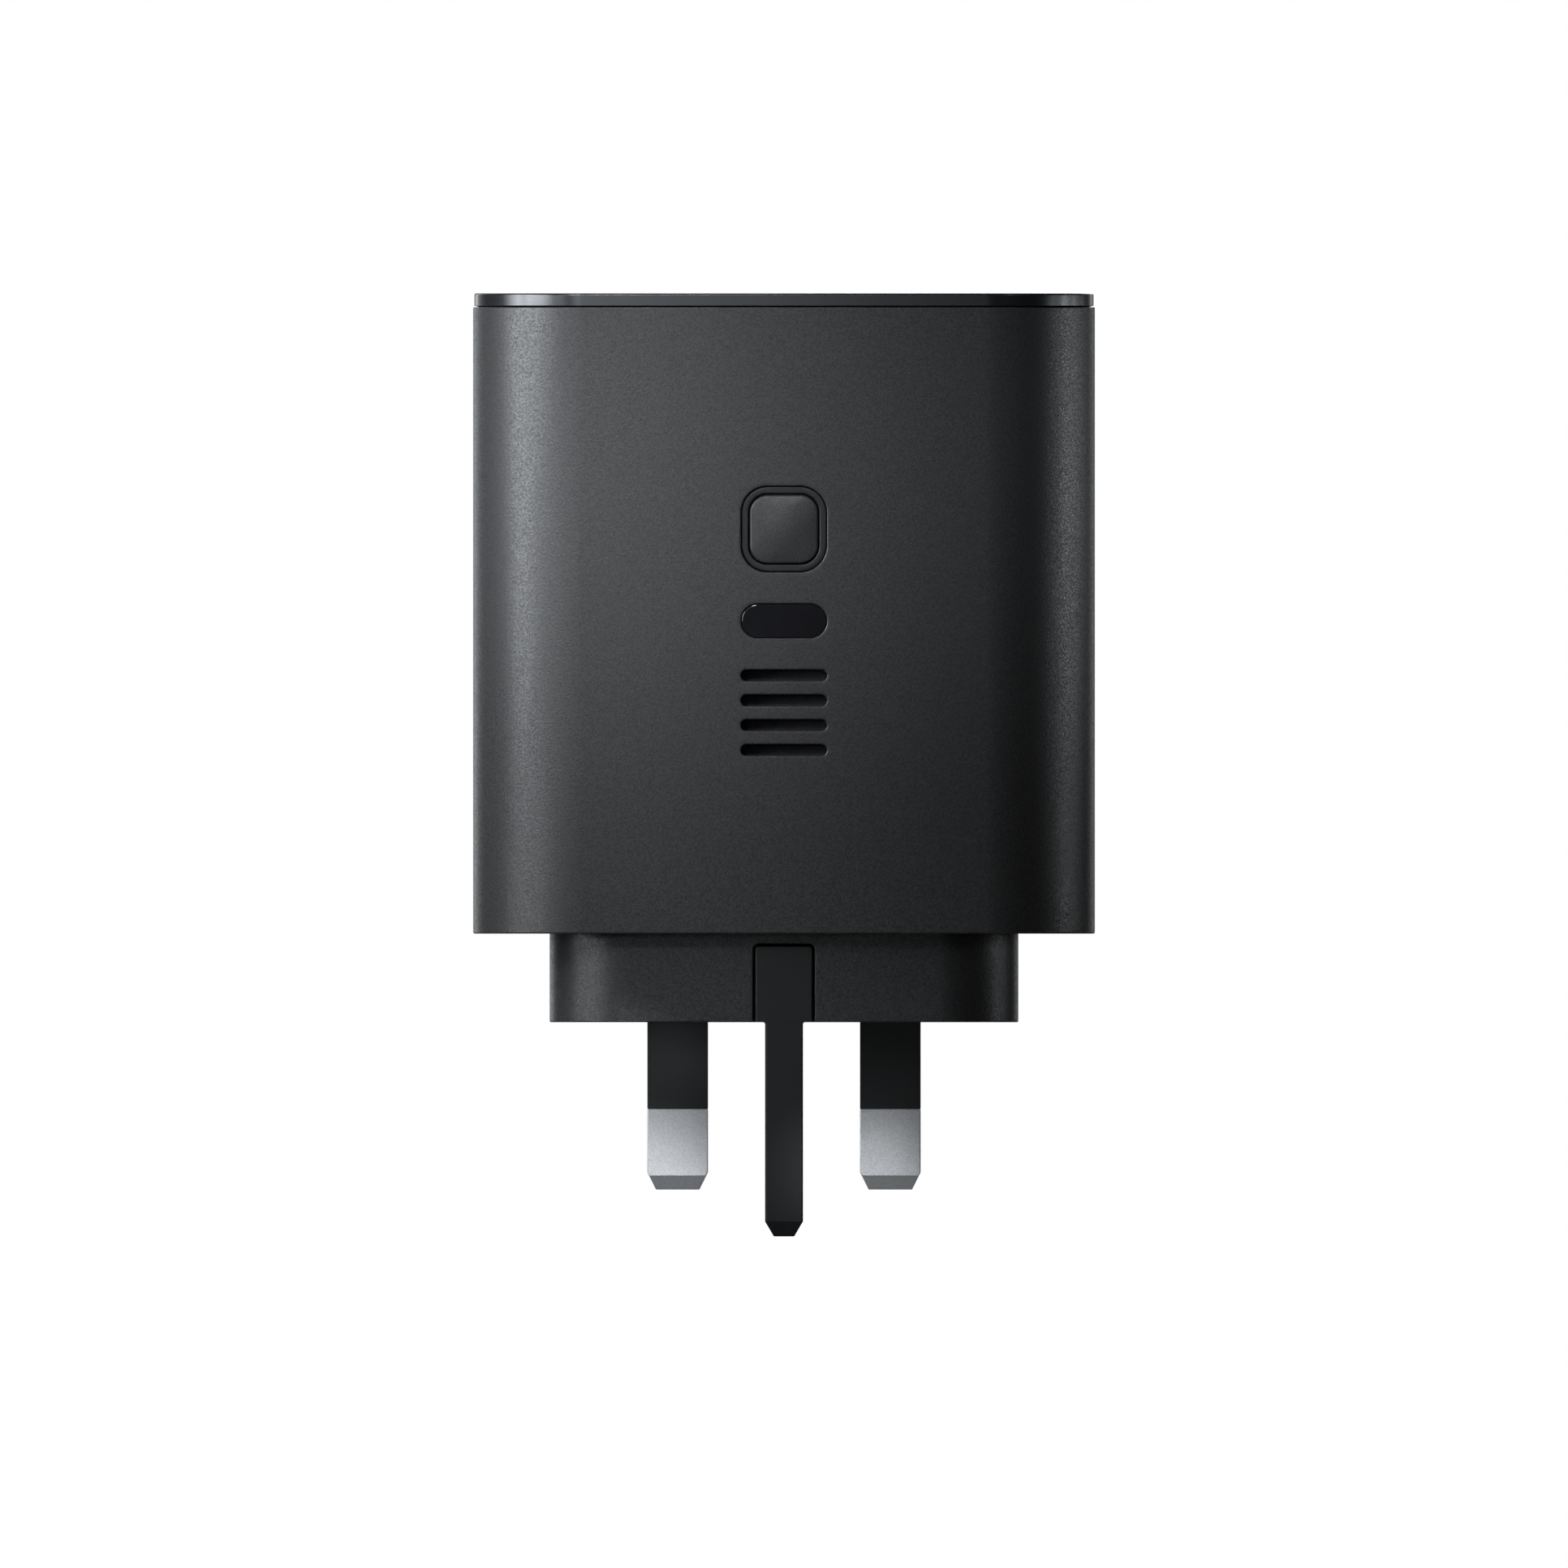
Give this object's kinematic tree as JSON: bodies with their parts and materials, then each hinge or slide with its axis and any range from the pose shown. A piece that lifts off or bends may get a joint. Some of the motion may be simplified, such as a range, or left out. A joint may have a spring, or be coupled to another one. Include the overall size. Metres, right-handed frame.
{
  "type": "smart usb plug",
  "caption": "Rounded plug-in power unit with rectangular mains pins, a push key, light window and sounder slots on the front, and USB sockets in a gloss top plate.",
  "frame": {"origin": "centre of the plug base's face that meets the wall socket", "axes": "pins point along -Z, the front with the key faces -Y, +X is to the right seen from the front"},
  "size_m": [0.065, 0.043, 0.0986],
  "materials": {
    "shell_plastic": "fine spark-eroded grain",
    "plate_plastic": "high gloss",
    "ring_plastic": "smooth satin",
    "key_plastic": "smooth satin",
    "window_plastic": "smoked gloss",
    "guide_plastic": "clear",
    "mesh_cloth": "fine black mesh",
    "gasket_foam": "soft foam",
    "base_plastic": "fine spark-eroded grain",
    "pin_metal": "nickel plate, fine grain",
    "sleeve_plastic": "smooth satin",
    "earth_plastic": "smooth matt",
    "screw_steel": "zinc plate",
    "retainer_plastic": "matt",
    "board_laminate": "solder resist",
    "fuse_case": "matt",
    "chip_plastic": "matt",
    "disc_coating": "lacquer",
    "film_case": "satin",
    "ferrite": "matt",
    "copper_wire": "enamelled copper",
    "capacitor_sleeve": "shrink sleeve",
    "winding_tape": "polyester tape",
    "pad_rubber": "soft silicone",
    "spreader_metal": "rolled sheet",
    "clear_film": "thin polyester film",
    "socket_steel": "nickel plate",
    "tongue_plastic": "moulded",
    "white_plastic": "moulded",
    "can_metal": "drawn can",
    "plunger_plastic": "moulded",
    "radio_laminate": "solder resist"
  },
  "bodies": {
    "housing": {"body_shell": "shell_plastic", "top_plate": "plate_plastic", "key_bezel": "ring_plastic", "light_window": "window_plastic", "light_guide": "guide_plastic", "slot_mesh": "mesh_cloth", "sounder_gasket": "gasket_foam", "plug_base": "base_plastic", "live_pin": "pin_metal", "neutral_pin": "pin_metal", "live_pin_sleeve": "sleeve_plastic", "neutral_pin_sleeve": "sleeve_plastic", "earth_pin": "earth_plastic", "earth_pin_screw": "screw_steel", "pin_retainer": "retainer_plastic", "retainer_screws": "screw_steel", "base_screws": "screw_steel", "main_board": "board_laminate", "board_screws": "screw_steel", "fuse": "fuse_case", "bridge_rectifier": "chip_plastic", "surge_disc": "disc_coating", "safety_capacitor": "disc_coating", "film_capacitor": "film_case", "choke_core": "ferrite", "choke_windings": "copper_wire", "choke_base": "chip_plastic", "bulk_capacitor_1": "capacitor_sleeve", "bulk_capacitor_2": "capacitor_sleeve", "transformer_core": "ferrite", "transformer_bobbin": "chip_plastic", "transformer_winding": "winding_tape", "thermal_pad": "pad_rubber", "heat_spreader": "spreader_metal", "insulation_film": "clear_film", "power_chip": "chip_plastic", "output_board": "board_laminate", "usb_c_shell_1": "socket_steel", "usb_c_shell_2": "socket_steel", "usb_c_tongue_1": "tongue_plastic", "usb_c_tongue_2": "tongue_plastic", "usb_c_riser_1": "chip_plastic", "usb_c_riser_2": "chip_plastic", "usb_a_shell": "socket_steel", "usb_a_tongue": "white_plastic", "output_capacitor_1": "can_metal", "output_capacitor_2": "can_metal", "output_inductor_1": "ferrite", "output_inductor_2": "ferrite", "port_controller": "chip_plastic", "control_board": "board_laminate", "tact_switch": "chip_plastic", "status_led": "white_plastic", "sounder": "chip_plastic", "radio_module": "radio_laminate", "radio_shield": "socket_steel"},
    "key": {"power_key": "key_plastic"},
    "plunger": {"switch_plunger": "plunger_plastic"}
  },
  "joints": [
    {"name": "key_press", "type": "slide", "parent": "housing", "child": "key", "axis": [0, 1, 0], "range_m": [0, 0.0006], "stiffness_N_per_m": 600},
    {"name": "plunger_press", "type": "slide", "parent": "housing", "child": "plunger", "axis": [0, 1, 0], "range_m": [0, 0.0007]}
  ],
  "couplings": [
    {"joint": "plunger_press", "follows": "key_press", "ratio": 1}
  ]
}
